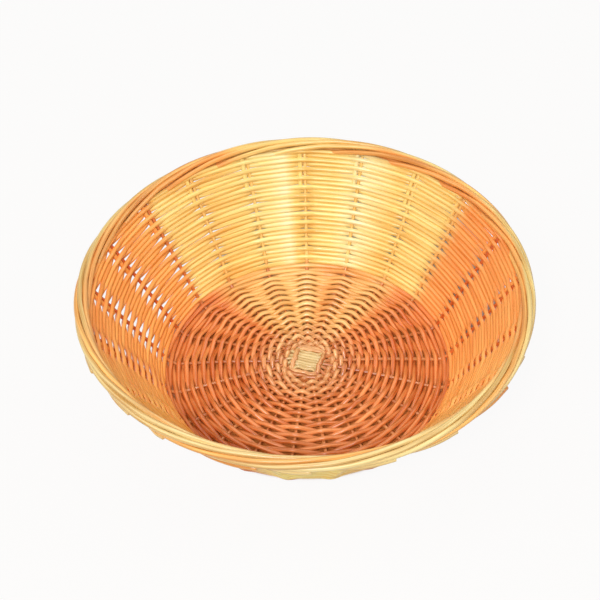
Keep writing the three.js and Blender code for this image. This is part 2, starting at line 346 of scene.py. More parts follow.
print("screen tone 128 is", round(tone(128, 128, 128)[0], 3), "in linear colour")

# %% [markdown]
# ## Tones, painted light and painted shade that stay put on the basket
#
# The photograph shows tones that change over the basket: the far side of the wall is straw yellow, the
# two sides stay orange, and the cross in the middle is cream. The straw yellow of the far wall is
# painted light, where the lamps fall on it, and the deeper orange of the sides is painted shade. They
# could be painted on an image, but a field is simpler: the angle round the basket, or the distance from
# its middle, each taken from the object's own coordinates, so that it stays put. Every piece here has
# its origin in the basket's middle, and so one field serves them all.

# %% Fields over the basket
REACH_SCALE = 5  # a SPHERICAL field then falls from 1 to 0 within a fifth of a metre
CROSS_MIDDLE = (0.006, -0.005, 0)  # shift that brings the middle of the cross to the field's middle


def field(owner, kind, turned=0.0, scale=(1, 1, 1), shift=(0, 0, 0)):
    """A grey field over the basket: RADIAL goes round it, and SPHERICAL out from the middle."""
    where = add_node(owner, "ShaderNodeTexCoord")
    place = add_node(owner, "ShaderNodeMapping", {
        "Vector": where.outputs["Object"], "Location": shift, "Rotation": (0, 0, turned), "Scale": scale,
    })
    gradient = add_node(
        owner, "ShaderNodeTexGradient", {"Vector": place.outputs["Vector"]}, gradient_type=kind
    )
    return gradient.outputs["Fac"]


def round_the_basket(owner):
    """0 straight in front, 0.25 on the right, 0.5 straight behind, and on round to 1."""
    return field(owner, "RADIAL", turned=math.radians(-90))


def way_round(degrees):
    """The share of the way round the basket, for an angle counted from the right-hand side."""
    return ((degrees + 90) % 360) / 360


def nearer_than(owner, outer, inner):
    """0 beyond the outer distance in metres from the middle of the cross, 1 within the inner."""
    nearness = field(owner, "SPHERICAL", scale=(REACH_SCALE,) * 3, shift=CROSS_MIDDLE)
    start, end = 1 - REACH_SCALE * outer, 1 - REACH_SCALE * inner
    return stretched(owner, nearness, start, end, interpolation_type="SMOOTHSTEP")


print("straight behind is", way_round(90), "of the way round")

# %% [markdown]
# ## The plastic
#
# Cane like this is extruded plastic, coloured right through. It has fine lines that run lengthwise,
# left by the die it was pressed through, a tone that drifts slowly from one stretch to the next,
# and a soft gloss. Noise on the UV map, drawn out along the cane, gives the lines and the drift.
# Numbers that are the same all over a surface are set on the shader's own sockets.

# %% Mix the plastic of a cane
DIE_LINES = (9, 2.2, 3)  # noise round the cane, along it, and its detail
SLOW_DRIFT = (0.6, 1.6, 2)
TONE_RANGE = (0.7, 1.3)  # of both noises together: the deep tone, and the light one
LINE_RANGE = (0.3, 0.7)  # what the noise of the lines mostly spans
LAST_DEGREE = 269  # the circle starts again at -90
ROUGHNESS = (0.22, 0.38)  # a soft gloss, smooth and rough in turn with the lines
LINE_STRENGTH, LINE_DEPTH = 0.25, 0.0002  # of their bump, the depth in metres


def lengthwise_noise(plastic, around, along, detail):
    uv = add_node(plastic, "ShaderNodeUVMap", uv_map="along_the_cane")
    scale = (around, along, 1)
    place = add_node(plastic, "ShaderNodeMapping", {"Vector": uv.outputs["UV"], "Scale": scale})
    noise = add_node(plastic, "ShaderNodeTexNoise", {
        "Vector": place.outputs["Vector"], "Scale": 1, "Detail": detail,
    }, noise_dimensions="2D")
    return noise.outputs["Fac"]


def both_tones(plastic, turn, rows):
    """Deep and light tones round the basket, from (angle, deep, light) rows. The circle closes with
    the tones of its first row, so one row alone is the same all round."""
    rows = [*rows, (LAST_DEGREE, *rows[0][1:])]
    deep = [(way_round(row[0]), tone(*row[1])) for row in rows]
    light = [(way_round(row[0]), tone(*row[2])) for row in rows]
    return ramp_of(plastic, turn, deep), ramp_of(plastic, turn, light)


def cane_plastic(name, rows, *rings):
    """A plastic from its tones round the basket, and from rings of other tones further in, each with
    the two distances between which it comes in."""
    plastic = bpy.data.materials.new(name)
    plastic.use_nodes = True
    plastic.node_tree.nodes.clear()
    die_lines = lengthwise_noise(plastic, *DIE_LINES)
    slow_drift = lengthwise_noise(plastic, *SLOW_DRIFT)
    share = stretched(plastic, combined(plastic, "ADD", die_lines, slow_drift), *TONE_RANGE)
    turn = round_the_basket(plastic)
    deep, light = both_tones(plastic, turn, rows)
    for outer, inner, ring_rows in rings:
        within = nearer_than(plastic, outer, inner)
        ring_deep, ring_light = both_tones(plastic, turn, ring_rows)
        deep = blend(plastic, within, deep, ring_deep)
        light = blend(plastic, within, light, ring_light)
    rough = stretched(plastic, die_lines, *LINE_RANGE, *ROUGHNESS)
    bump = add_node(plastic, "ShaderNodeBump", {
        "Strength": LINE_STRENGTH, "Distance": LINE_DEPTH, "Height": die_lines,
    })
    shader = add_node(plastic, "ShaderNodeBsdfPrincipled", {
        "Base Color": blend(plastic, share, deep, light), "Roughness": rough, "IOR": 1.5,
        "Normal": bump.outputs["Normal"],
    })
    add_node(plastic, "ShaderNodeOutputMaterial", {"Surface": shader.outputs["BSDF"]})
    return plastic


print("roughness from", ROUGHNESS[0], "to", ROUGHNESS[1])

# %% [markdown]
# ## The tones of the weave
#
# Each row of a table gives an angle in degrees, counted from the right-hand side, and the deep and the
# light tone there. The wall is straw yellow at the back, from about 41 to 138 degrees, and at the front,
# as painted light where the lamps fall on it, and orange between, as painted shade. The tones change
# from stake to stake, as painted light and shade, because each stretch of weave faces another way. The
# base is a deeper orange, paler at the back as painted light and browner at the front as painted shade.
# A ring gives the two distances from the middle, in metres, between which its own tones come in: near
# the cross the base's deep tone is browner and its light tone paler, as painted shade between the knots
# and painted highlights on them.

# %% Tones of the weaver
# Painted shade and painted highlights near the cross: a browner deep tone and a paler light tone.
PAINTED_SHADE_AND_HIGHLIGHTS_NEAR_CROSS = (0.036, 0.015, [(-90, (178, 98, 44), (252, 202, 138))])
# Painted light: straw yellow where the lamps light the wall, at the back and the front, and orange as
# painted shade on the sides, changing from stake to stake as each stretch faces the light.
wall_painted_light_plastic = cane_plastic("wall_weaver_plastic_painted_light", [
    (-90, (252, 214, 106), (255, 244, 152)), (-55, (240, 166, 80), (252, 212, 124)),
    (-35, (240, 150, 64), (255, 188, 100)), (20, (230, 132, 54), (250, 168, 90)),
    (34, (226, 132, 54), (248, 174, 94)), (41, (232, 182, 90), (252, 230, 146)),
    (60, (230, 176, 82), (253, 226, 138)), (72, (240, 210, 122), (254, 248, 200)),
    (80, (236, 190, 94), (252, 234, 150)), (88, (230, 176, 84), (250, 222, 132)),
    (93, (234, 186, 94), (251, 228, 140)), (96, (242, 216, 134), (254, 250, 206)),
    (101, (238, 200, 108), (252, 240, 168)), (110, (232, 182, 90), (252, 234, 150)),
    (122, (230, 170, 78), (252, 222, 130)), (138, (236, 182, 88), (252, 228, 144)),
    (142, (234, 148, 62), (254, 184, 96)), (165, (234, 140, 56), (254, 176, 90)),
    (195, (238, 142, 58), (255, 180, 92)), (212, (255, 158, 64), (255, 198, 102)),
    (242, (255, 166, 72), (255, 206, 112)), (260, (252, 214, 106), (255, 244, 152)),
])
# Painted light and shade on the base: paler at the back, from 52 to 126 degrees, deeper at the front and
# the sides.
base_painted_light_plastic = cane_plastic("base_weaver_plastic_painted_light", [
    (-90, (184, 92, 34), (236, 154, 92)), (-20, (192, 92, 32), (240, 152, 84)),
    (30, (202, 94, 32), (244, 154, 84)), (46, (208, 110, 44), (246, 168, 96)),
    (52, (224, 156, 78), (248, 202, 128)), (80, (216, 138, 64), (244, 184, 108)),
    (88, (226, 164, 84), (248, 208, 134)), (126, (224, 156, 76), (248, 198, 120)),
    (134, (204, 100, 36), (244, 158, 88)), (200, (190, 88, 30), (236, 146, 78)),
], PAINTED_SHADE_AND_HIGHLIGHTS_NEAR_CROSS)
print("made", wall_painted_light_plastic.name, "and", base_painted_light_plastic.name)

# %% [markdown]
# ## The tones of the stakes and the border
#
# Up the wall a stake has much the tones of the weave round it, with the same painted light: pale where
# it is lit at the back, and dark red as painted shade on the sides. In the base it is a darker tan, as
# painted shade on the glimpses between the rows, and in the cross itself it is cream, with a sharp
# change: two rings do that. The border is straw on the outside and on top, and a ring just inside the
# rim gives its inner side the wall's orange, as painted shade and bounce light from the bowl. Some of
# its canes are tan all round.

# %% Tones of the stakes and the border
# Painted shade: a darker tan for the stakes in the base.
PAINTED_SHADE_IN_BASE = (0.083, 0.077, [(-90, (174, 90, 40), (222, 144, 82))])
IN_THE_CROSS = (0.0148, 0.0136, [(-90, (196, 160, 100), (232, 208, 150))])
# Painted shade and bounce light: the orange inner side of the rim.
PAINTED_BOUNCE_INSIDE_RIM = (0.1385, 0.1367, [
    (-90, (204, 150, 74), (246, 226, 160)), (-30, (224, 140, 64), (252, 196, 116)),
    (66, (224, 132, 56), (252, 184, 100)), (74, (228, 170, 82), (252, 226, 142)),
    (106, (228, 170, 82), (252, 226, 142)), (114, (224, 136, 58), (252, 188, 102)),
    (210, (224, 152, 78), (250, 210, 138)),
])
# Painted light on the stakes: pale where lit at the back, dark red as painted shade on the sides.
stake_painted_light_plastic = cane_plastic("stake_plastic_painted_light", [
    (-90, (190, 92, 40), (216, 122, 66)), (30, (196, 86, 34), (222, 114, 54)),
    (41, (232, 178, 90), (250, 218, 136)), (90, (236, 186, 98), (255, 230, 150)),
    (122, (232, 178, 90), (250, 218, 136)), (136, (214, 130, 60), (240, 164, 90)),
    (146, (194, 80, 32), (218, 104, 48)),
], PAINTED_SHADE_IN_BASE, IN_THE_CROSS)
border_painted_bounce_plastic = cane_plastic("straw_border_plastic_painted_bounce", [
    (-90, (204, 150, 74), (246, 226, 160)), (-10, (200, 152, 76), (244, 220, 148)),
    (60, (210, 156, 76), (246, 222, 142)), (120, (210, 158, 76), (246, 222, 142)),
    (170, (198, 148, 76), (238, 210, 136)), (230, (206, 154, 80), (246, 226, 162)),
], PAINTED_BOUNCE_INSIDE_RIM)
tan_plastic = cane_plastic("tan_border_plastic", [(-90, (208, 130, 56), (252, 198, 112))])
print("made", stake_painted_light_plastic.name, border_painted_bounce_plastic.name, "and", tan_plastic.name)

# %% [markdown]
# ## Where a stake runs
#
# Between the rows a stake shows only as a row of small glimpses. Patches of stake tone could give
# those, but a real rod casts its own shadows there. It follows the middle line exactly, while the
# weaver does all the swinging, because a stake is held straight from both sides.

# %% Work out the course of a stake
STAKE_HALF = 1.05  # half its thickness
FAN_RADIUS = 19.0  # from here on each stake runs straight outwards
STAKE_TOP = 4.55  # below the middle of the roll


def stake_angle(index):
    """Where a stake stands, with a small wandering of up to a third of a degree."""
    return FIRST_STAKE + STAKE_STEP * index + math.radians(0.35) * math.sin(index * 2.4)


def stake_run(index):
    """Points to pass, from the fan to the top: along the dome, round the corner, up the wall."""
    lengths = np.concatenate([
        np.linspace(FAN_RADIUS, DOME_END[0] - 2, 9),
        np.linspace(DOME_END[0], CORNER_AT + 1, 6),
        np.linspace(CORNER_AT + 9, ROLL_AT - STAKE_TOP, 7),
    ])
    return on_the_weave(lengths, np.full_like(lengths, stake_angle(index)), np.zeros_like(lengths))


print("a stake has to pass", len(stake_run(0)), "points")

# %% [markdown]
# ## The cross
#
# Seven canes lie on top and four below them at the middle of the base. Beyond the crossing they
# fan out to their own places, and each turns up as two stakes. One end is cut short in the base,
# because a weave of over one, under one needs an odd number of stakes.

# %% Lay the eleven stake canes
OVER_COUNT, UNDER_COUNT = 7, 4
CROSS_ANGLE = math.radians(-16)
CROSS_PITCH = 2.05  # from one cane of the cross to the next
CROSS_LEVEL = 1.1  # how far the canes on top and below lie from the middle line
STRAIGHT_OVER, STRAIGHT_UNDER = 5.4, 8.4  # how far out from the middle the outer canes run straight
STAGGER = 3.5  # and how much further the middle ones do
SHORT_END = 2  # how far beyond that the short end reaches


def cross_cane(direction, offset, level, reach, near, far):
    """A cane from the top of the near stake across the base to the top of the far one."""
    along = np.array([math.cos(direction), math.sin(direction), 0])
    middle = np.array([-along[1], along[0], 0]) * offset + [0, 0, LINE[0, 1] + level]
    ends = [middle + along * reach, middle - along * reach]
    first = [middle + along * (reach + SHORT_END)] if near is None else list(stake_run(near)[::-1])
    return smooth_path([*first, ends[0], middle, ends[1], *stake_run(far)], 5)


def stagger(offset, count):
    """How much further a cane of an arm runs straight than the outermost one does."""
    return STAGGER * (1 - abs(offset) / ((count - 1) / 2 * CROSS_PITCH))


cross_canes = []
for k in range(OVER_COUNT):
    offset = (k - (OVER_COUNT - 1) / 2) * CROSS_PITCH
    reach = STRAIGHT_OVER + stagger(offset, OVER_COUNT)
    near, far = k - 5, 12 - k  # the two stakes that it turns up as
    cross_canes.append(cross_cane(CROSS_ANGLE, offset, CROSS_LEVEL, reach, near, far))
for k in range(UNDER_COUNT):
    offset = ((UNDER_COUNT - 1) / 2 - k) * CROSS_PITCH
    reach = STRAIGHT_UNDER + stagger(offset, UNDER_COUNT)
    near, far = None if k == UNDER_COUNT - 1 else -6 - k, 2 + k
    cross_canes.append(cross_cane(CROSS_ANGLE - math.pi / 2, offset, -CROSS_LEVEL, reach, near, far))
for number, path in enumerate(cross_canes, 1):
    shell = cane_shell(path, STAKE_HALF, STAKE_HALF, pattern=170 * number)
    make_piece(f"stake_{number:02d}", [shell], [stake_painted_light_plastic], "stakes", f"stake_cane_{number:02d}")
print(len(cross_canes), "stake canes of", round(sum(map(metres_of, cross_canes)), 1), "m in all")

# %% [markdown]
# ## Where the weaver meets the stakes
#
# Near the cross the canes stand unevenly, because they are still fanning out there. The weaver has
# to go round each of them where it really is. The angles could be worked out from how the cross is
# laid, but it is simpler to measure them from the finished paths, at a number of steps outwards.

# %% Measure where the stakes stand near the cross
FAN_STEPS = np.linspace(8.0, FAN_RADIUS + 1, 26)
FAN_STRIDE = FAN_STEPS[1] - FAN_STEPS[0]
SAME_STAKE = math.radians(2)  # a path that ends this near a stake's place belongs to it


def crossings(path, radii):
    """The angles at which both halves of a cane pass through the given radii."""
    radius, angle = np.hypot(path[:, 0], path[:, 1]), np.unwrap(np.arctan2(path[:, 1], path[:, 0]))
    low = int(np.argmin(radius))
    far = np.interp(radii, radius[low:], angle[low:])
    near = np.interp(radii, radius[: low + 1][::-1], angle[: low + 1][::-1])
    return near, far


def fan_table():
    """For each stake in its order round the basket, its angle at every step of the fan."""
    found = []
    for path in cross_canes:
        found += crossings(path, FAN_STEPS)
    table = np.full((STAKE_COUNT, len(FAN_STEPS)), np.nan)
    for angles in found:
        end = signed(angles[-1] - FIRST_STAKE) % (2 * math.pi)
        index = int(round(end / STAKE_STEP)) % STAKE_COUNT
        off = signed(angles - stake_angle(index))
        if abs(off[-1]) < SAME_STAKE and np.isnan(table[index, 0]):
            table[index] = stake_angle(index) + off
    return table


def stakes_passed(length, angle):
    """How many stakes lie between the first one and this angle, counted where they really stand."""
    even = (angle - FIRST_STAKE) / STAKE_STEP
    for i in np.flatnonzero(length < FAN_STEPS[-1]):
        column = np.clip((length[i] - FAN_STEPS[0]) / FAN_STRIDE, 0, len(FAN_STEPS) - 1.001)
        low, part = int(column), column - int(column)
        stand = fan[:, low] * (1 - part) + fan[:, low + 1] * part
        rounds = math.floor(even[i] / STAKE_COUNT)
        local = angle[i] - rounds * 2 * math.pi
        ring = np.concatenate([stand[-3:] - 2 * math.pi, stand, stand[:3] + 2 * math.pi])
        even[i] = np.interp(local, ring, np.arange(-3, STAKE_COUNT + 3)) + rounds * STAKE_COUNT
    return even


fan = fan_table()
print("stakes found in the fan:", int(np.sum(~np.isnan(fan[:, 0]))))

# %% [markdown]
# ## The rows
#
# The weaver is one long spiral, and its turns are the rows. The middle of the cross is a box of
# canes, so the first turn runs round it as a box with round corners, and each turn after it is
# rounder, until the third ends as a circle. From there the rows keep their pitch, along the dome,
# round the corner and up the wall. Nearly half a turn at the end runs level under the border, so
# that no gap opens there.

# %% Work out the rows
BASE_PITCH, WALL_PITCH = 2.45, 2.64  # from row to row
WEAVE_TOP = 3.5  # from the last row's middle to the middle of the roll
LEVEL_RUN = 0.47  # share of a turn that runs level under the border, and ends at the front
FIRST_ANGLE = CROSS_ANGLE + math.pi / 4  # it starts between two arms
BOX_TURNS = [0, 0.9, 1.25, 2, 3]  # after these turns
BOX_SEVENS = [7.3, 7.4, 9.5, 11.5, 14.0]  # it crosses the arms of seven canes this far out
BOX_FOURS = [8.5, 8.6, 10.6, 12.2, 14.0]  # and the arms of four this far
SHAPE_TURNS, SHAPE = [0, 1, 2, 3], [8.0, 5.0, 2.8, 2.0]  # 2 is an ellipse, and more is squarer
ROUND_TURN, ROUND_AT = BOX_TURNS[-1], BOX_SEVENS[-1]
CORNER_TURN = ROUND_TURN + (CORNER_AT - ROUND_AT) / BASE_PITCH
LEVEL_TURN = CORNER_TURN + (ROLL_AT - WEAVE_TOP - CORNER_AT) / WALL_PITCH
LAST_TURN = LEVEL_TURN + LEVEL_RUN


def box_length(turns, angle):
    """How far from the middle the weaver runs on its first turns round the cross."""
    box_x = np.abs(np.cos(angle - CROSS_ANGLE)) / np.interp(turns, BOX_TURNS, BOX_SEVENS)
    box_y = np.abs(np.sin(angle - CROSS_ANGLE)) / np.interp(turns, BOX_TURNS, BOX_FOURS)
    shape = np.interp(turns, SHAPE_TURNS, SHAPE)
    return (box_x**shape + box_y**shape) ** (-1 / shape)


def row_length(turns, angle):
    """How far along the middle line the weaver lies after so many turns."""
    length = box_length(turns, angle)
    length = length + np.clip(turns - ROUND_TURN, 0, CORNER_TURN - ROUND_TURN) * BASE_PITCH
    return length + np.clip(turns - CORNER_TURN, 0, LEVEL_TURN - CORNER_TURN) * WALL_PITCH


print("rows in the base", round(CORNER_TURN, 1), "and in the wall", round(LAST_TURN - CORNER_TURN, 1))

# %% [markdown]
# ## Over and under
#
# With 21 stakes, an odd number, a weaver that passes inside one stake and outside the next comes
# round to every stake on the other side from before, so each row locks the one below it. A zigzag
# from stake to stake opens slits that are too long, and a plain sine leaves the wall open half-way.
# A bell curve at each stake, once inwards and once outwards, is right at any spacing: where stakes
# stand close, in the base, the bells add up to a soft wave, and where they stand far apart, in the
# wall, the rows close up between them. In the wall a part of the swing is a longer bow, as the
# plastic is stiff. On the left the basket is woven more loosely, with wider and flatter bells.
#
# At the cross the canes stand too close to go between them all. The maker first goes once over all
# four arms, then once over the arms of four canes and under those of seven, and from then on round
# every stake.

# %% Swing the weaver over and under
BASE_REACH, WALL_REACH = 5.6, 2.6  # how far beside a stake the weaver still swings
CLOSE_REACH = 0.4  # the same at most, as a share of the spacing
LOOSE_SIDE, LOOSE_SPREAD = math.radians(174), 0.6  # the loose side, and how far round it spreads
LOOSE_REACH = 4.9  # there the weaver swings that much further
ROUND_BELL, WALL_FLATTER = 2, 0.8  # the power of a bell curve, and how much flatter the wall's are
BOW, BOW_REACH = 0.3, 7.5  # share of the swing that is a long bow in the wall, and its reach
ARM_EDGE = 1.6  # how sharply the weaver changes sides between two arms
SINGLES_FROM, SINGLES_BY = 1.95, 2.1  # turns between which it takes up every stake


def ease(value, start, end):
    share = np.clip((value - start) / (end - start), 0, 1)
    return share * share * (3 - 2 * share)


def between(first, second, share):
    return first + (second - first) * share


def round_each_stake(stakes_past, spacing, reach, power):
    """1 inside an even stake, -1 outside an odd one, and near 0 where the rows close up."""
    reach = np.minimum(reach, CLOSE_REACH * spacing)

    def bell(off):
        return np.exp(-((off / reach) ** power))

    before = np.floor(stakes_past)
    gone = (stakes_past - before) * spacing
    return (1 - 2 * (before % 2)) * (bell(gone) - bell(spacing - gone)) / (1 - bell(spacing))


def swing_of(turns, angle, past, spacing, in_wall, arm):
    """The weaver's swing after so many turns, from 1 inside a stake or arm to -1 outside it."""
    loose = np.exp(-((signed(angle - LOOSE_SIDE) / LOOSE_SPREAD) ** 2))
    reach = between(BASE_REACH, WALL_REACH + LOOSE_REACH * loose, in_wall)
    singles = round_each_stake(past, spacing, reach, ROUND_BELL + (WALL_FLATTER + loose) * in_wall)
    bowed = round_each_stake(past, spacing, BOW_REACH, ROUND_BELL)
    singles = singles + (bowed - singles) * BOW * in_wall
    arms = np.tanh(ARM_EDGE * arm) / np.tanh(ARM_EDGE)
    arms = np.where(turns < 1, np.abs(arms), -arms)
    to_singles = ease(turns, SINGLES_FROM, SINGLES_BY)
    return arms * (1 - to_singles) + singles * to_singles


print("it swings within", WALL_REACH, "mm of a stake, on the left", WALL_REACH + LOOSE_REACH, "mm")

# %% [markdown]
# ## The weaver's path
#
# Three more things make it look woven by hand. The canes are pressed into each other a little, most
# of all round the corner. The weaver is pulled tight, so that seen from above it cuts the corner
# between two stakes. And it wanders: slow waves made of a few sines with fixed random phases, in
# place of plain random numbers, are smooth and give the same basket on every run.

# %% Work out the weaver's path
WEAVER_THICK = 1.2  # half its thickness through the weave
STATIONS = 14  # points of its path from one stake to the next
BASE_PRESSED, WALL_PRESSED = 0.25, 0.5  # how far the canes are pressed into each other
CORNER_PRESSED = 1.1  # how much flatter the weave lies round the corner
CORNER_OUT = 0.7  # how far outwards it lies there
CORNER_SPREAD = 9  # how far from the corner that is felt
CORNER_BLEND = 8  # how far from the corner the base's ways turn into the wall's
TUCKED_FROM = ROLL_AT - 24.0  # from here up a border cane stands beside each stake
TUCKED_SHIFT = 1.35  # and the weaver goes round the middle of the pair
BASE_TAUT, WALL_TAUT = 0.4, 0.75  # 1 runs straight from stake to stake, 0 follows the circle
LEVELS_MEET = (11, 19)  # between these distances from the middle the arms come to one level
TAUT_FROM = (14, 22)  # between these the weaver comes to be pulled tight
CALM_FROM = (14, 30)  # and between these the uneven first rows calm down
WANDER_DEEP, WANDER_WIDE, WANDER_FIRST = 0.06, 0.11, 0.3  # through the weave, along it, at first


def wandering(seed, where, waves):
    """A smooth drift about 0 with the given wave lengths, the same for a seed on every run."""
    dice = np.random.default_rng(seed)
    drift = np.zeros_like(where, dtype=float)
    for wave in waves:
        drift += np.sin(2 * math.pi * where / wave + dice.uniform(0, 2 * math.pi))
    return drift / math.sqrt(len(waves))


def weaver_path(turns):
    """The middle of the weaver after so many turns, and the direction in which it is thin."""
    angle = FIRST_ANGLE + 2 * math.pi * turns
    arm = np.cos(2 * (angle - CROSS_ANGLE))  # 1 at the arms of seven canes, -1 at those of four
    length = row_length(turns, angle)
    in_wall = ease(length, CORNER_AT - CORNER_BLEND, CORNER_AT + CORNER_BLEND)
    at_corner = np.exp(-(((length - CORNER_AT - 2) / CORNER_SPREAD) ** 2))
    spacing = np.interp(length, LINE_LENGTH, LINE[:, 0]) * STAKE_STEP
    tucked = ease(length, TUCKED_FROM - 1, TUCKED_FROM + 2)
    past = stakes_passed(length, angle) - tucked * TUCKED_SHIFT / spacing
    pressed = between(BASE_PRESSED, WALL_PRESSED, in_wall) + CORNER_PRESSED * at_corner
    swing = swing_of(turns, angle, past, spacing, in_wall, arm)
    proud = (STAKE_HALF + WEAVER_THICK - pressed) * swing
    arm_level = CROSS_LEVEL * np.tanh(2 * arm + 0.6)  # near the cross it lies as high as each arm
    proud = proud + arm_level * (1 - ease(length, *LEVELS_MEET))
    stakes = turns * STAKE_COUNT
    proud = proud - CORNER_OUT * at_corner + WANDER_DEEP * wandering(7, stakes, [2.7, 5.3, 11.9])
    length = length + WANDER_WIDE * wandering(11, stakes, [3.1, 7.7, 23.9, 60.1])
    first_rows = wandering(5, stakes, [1.7, 4.3]) * (1 - ease(length, *CALM_FROM))
    length = length + WANDER_FIRST * first_rows
    path = on_the_weave(length, angle, proud)
    past_middle = (past - np.floor(past) - 0.5) * STAKE_STEP
    taut = between(BASE_TAUT, WALL_TAUT, in_wall) * ease(length, *TAUT_FROM)
    taut = taut * (1 - math.cos(STAKE_STEP / 2) / np.cos(past_middle))
    path[:, :2] *= 1 - taut[:, None]
    path[:, 2] = np.maximum(path[:, 2], WEAVER_THICK)  # the table stops it
    return path, inward(length, angle)


one_turn = weaver_path(np.linspace(CORNER_TURN, CORNER_TURN + 1, STAKE_COUNT * STATIONS))[0]
print("the first turn of the wall takes", round(metres_of(one_turn), 3), "m of cane")

# %% [markdown]
# ## Weave the base and the wall
#
# The weaver is laid as a solid rod in two lengths that change over at the corner, because the base
# and the wall have different tones, and because each replaces a solid of its own. The rod is a
# little wider than it is thick: that closes the rows, as the pressure between them does on the
# real basket.

# %% Lay the weaver
BASE_WIDE, WALL_WIDE = 1.35, 1.38  # half its width from row to row
CHANGE_TURN = CORNER_TURN - 0.15  # just before the corner

for part, start, end, wide, plastic in (
    ("base", 0, CHANGE_TURN, BASE_WIDE, base_painted_light_plastic),
    ("wall", CHANGE_TURN, LAST_TURN, WALL_WIDE, wall_painted_light_plastic),
):
    path, facing = weaver_path(np.linspace(start, end, int((end - start) * STAKE_COUNT * STATIONS)))
    shell = cane_shell(path, wide, WEAVER_THICK, facing)
    make_piece(f"{part}_weaver", [shell], [plastic], "weave", f"{part}_weave")
    print("the", part, "takes", round(metres_of(path), 1), "m of weaver")

# %% [markdown]
# ## The rolled border
#
# Each border cane is pushed down beside its stake, comes up, bends over to the right and goes once
# round the roll while it passes six more stakes. Six canes share the roll at any place, each a
# sixth of a turn behind its neighbour, so together they look like a rope. The end slips out under
# the roll, lies along the outside and is cut off blunt. Most ends hug the roll, and two stand out.
# Its course is worked out in angles round the roll, which is how the hand lays it.

# %% Work out the course of a border cane
BORDER_HALF = 1.4  # half its thickness
BORDER_GAP = 0.35  # between a border cane and its stake
ROLL_RADIUS = 2.8
DEGREES_A_STAKE = 60  # round the roll, so that six canes fill it
PUSHED_DOWN = 25.0  # how far below the middle of the roll the deepest one reaches
TAIL = [(3.3, 320, 5.2), (4.0, 350, 5.5), (4.6, 380, 5.8)]  # distance, degrees round, stakes on
TAIL_END = 6.6  # how many stakes on a cane ends
HUGGING, STANDING = (4.7, 4.6, 4.25), (4.9, 5.0, 5.0)  # last three distances of the two kinds of tail
STANDING_OUT = {4: 0.0, 11: 0.4}  # canes whose cut ends stand clear of the roll, and how much longer
UP_WALL = ROLL_MIDDLE - BASE_EDGE
WALL_LEAN = math.atan2(UP_WALL[1], UP_WALL[0])


def round_the_roll(distance, degrees_round, stakes_on):
    """A place round the roll, counted from the wall below it outwards and over the top."""
    turned = WALL_LEAN - math.pi + math.radians(degrees_round)
    radius = ROLL_MIDDLE[0] + distance * math.cos(turned)
    height = ROLL_MIDDLE[1] + distance * math.sin(turned)
    angle = np.array([FIRST_STAKE + STAKE_STEP * stakes_on])
    return round_the_axis(np.array([radius]), np.array([height]), angle)[0]


def border_path(index, dice):
    """A border cane from its lower end in the wall, round the roll and out to its cut end."""
    beside = STAKE_HALF + BORDER_HALF + BORDER_GAP
    angle = np.full(4, stake_angle(index))
    deepest = PUSHED_DOWN - dice.uniform(0, 4)
    below_roll = np.array([deepest, 15.0, ROLL_RADIUS + BORDER_HALF, ROLL_RADIUS + 0.25])
    sideways = np.array([beside, beside, beside, beside + 0.75])
    rising = on_the_weave(ROLL_AT - below_roll, angle, np.zeros(4), sideways)
    rolled = []
    for stakes_on in np.arange(0.5, 4.9, 0.25):
        loose = ROLL_RADIUS + 0.1 * math.sin(1.3 * stakes_on + 5 * index)
        degrees = DEGREES_A_STAKE * stakes_on + dice.uniform(-3, 3)
        rolled.append(round_the_roll(loose, degrees, index + stakes_on))
    end = TAIL_END + dice.uniform(-0.25, 0.2) + STANDING_OUT.get(index, 0)
    last = STANDING if index in STANDING_OUT else HUGGING
    tail = [*TAIL, *zip(last, (402, 420, 432), (6.1, (6.1 + end) / 2, end))]
    leaving = [round_the_roll(distance, degrees, index + on) for distance, degrees, on in tail]
    return smooth_path([*rising, *rolled, *leaving], 4)


print("the wall leans by", round(math.degrees(WALL_LEAN), 1), "degrees from level")

# %% [markdown]
# ## Lay the border
#
# Down in the wall a border cane has the wall's tones, because light that has bounced about in the
# weave colours it there. So it is made of two shells, each in a plastic of its own. Every fourth
# cane is tan. The dice have a fixed seed, so that the unevenness is the same on every run.

# %% Lay the twenty-one border canes
IN_THE_WALL = 9  # rings of a border cane that lie in the wall
TAN_CANES = 3  # of every four canes, counted from 0, this one is tan

dice = np.random.default_rng(21)
border_metres = 0
for index in range(STAKE_COUNT):
    path, pattern = border_path(index, dice), 230 * index
    border_metres += metres_of(path)
    shells = [
        cane_shell(part, BORDER_HALF, BORDER_HALF, sides=10, pattern=pattern)
        for part in (path[IN_THE_WALL:], path[: IN_THE_WALL + 1])
    ]
    number = index + 1
    plastics = [tan_plastic if index % 4 == TAN_CANES else border_painted_bounce_plastic, wall_painted_light_plastic]
    make_piece(f"border_{number:02d}", shells, plastics, "border", f"border_cane_{number:02d}")
print(STAKE_COUNT, "border canes of", round(border_metres, 1), "m in all")

# %% [markdown]
# ## The floor
#
# The basket stands on a plain floor that shows as pure white in the photograph, with a soft shadow
# beside it. A white matt floor would still come out grey in places, so the material asks which kind of
# ray is looking, and shows the camera a shining white. Round fields mark out three places. In the foot
# and in the shadow the floor stays an ordinary matt one. Right under the base it is painted a warm dark
# orange: painted shade, tinted as by light that has bounced about between orange canes on its way there.

# %% Lay the floor
FLOOR_HALF = 6.0  # metres from its middle to its edge
FLOOR_TONES = [(0.0, (0.58, 0.48, 0.38, 1)), (1.0, (0.62, 0.52, 0.42, 1))]  # linear, over its grain
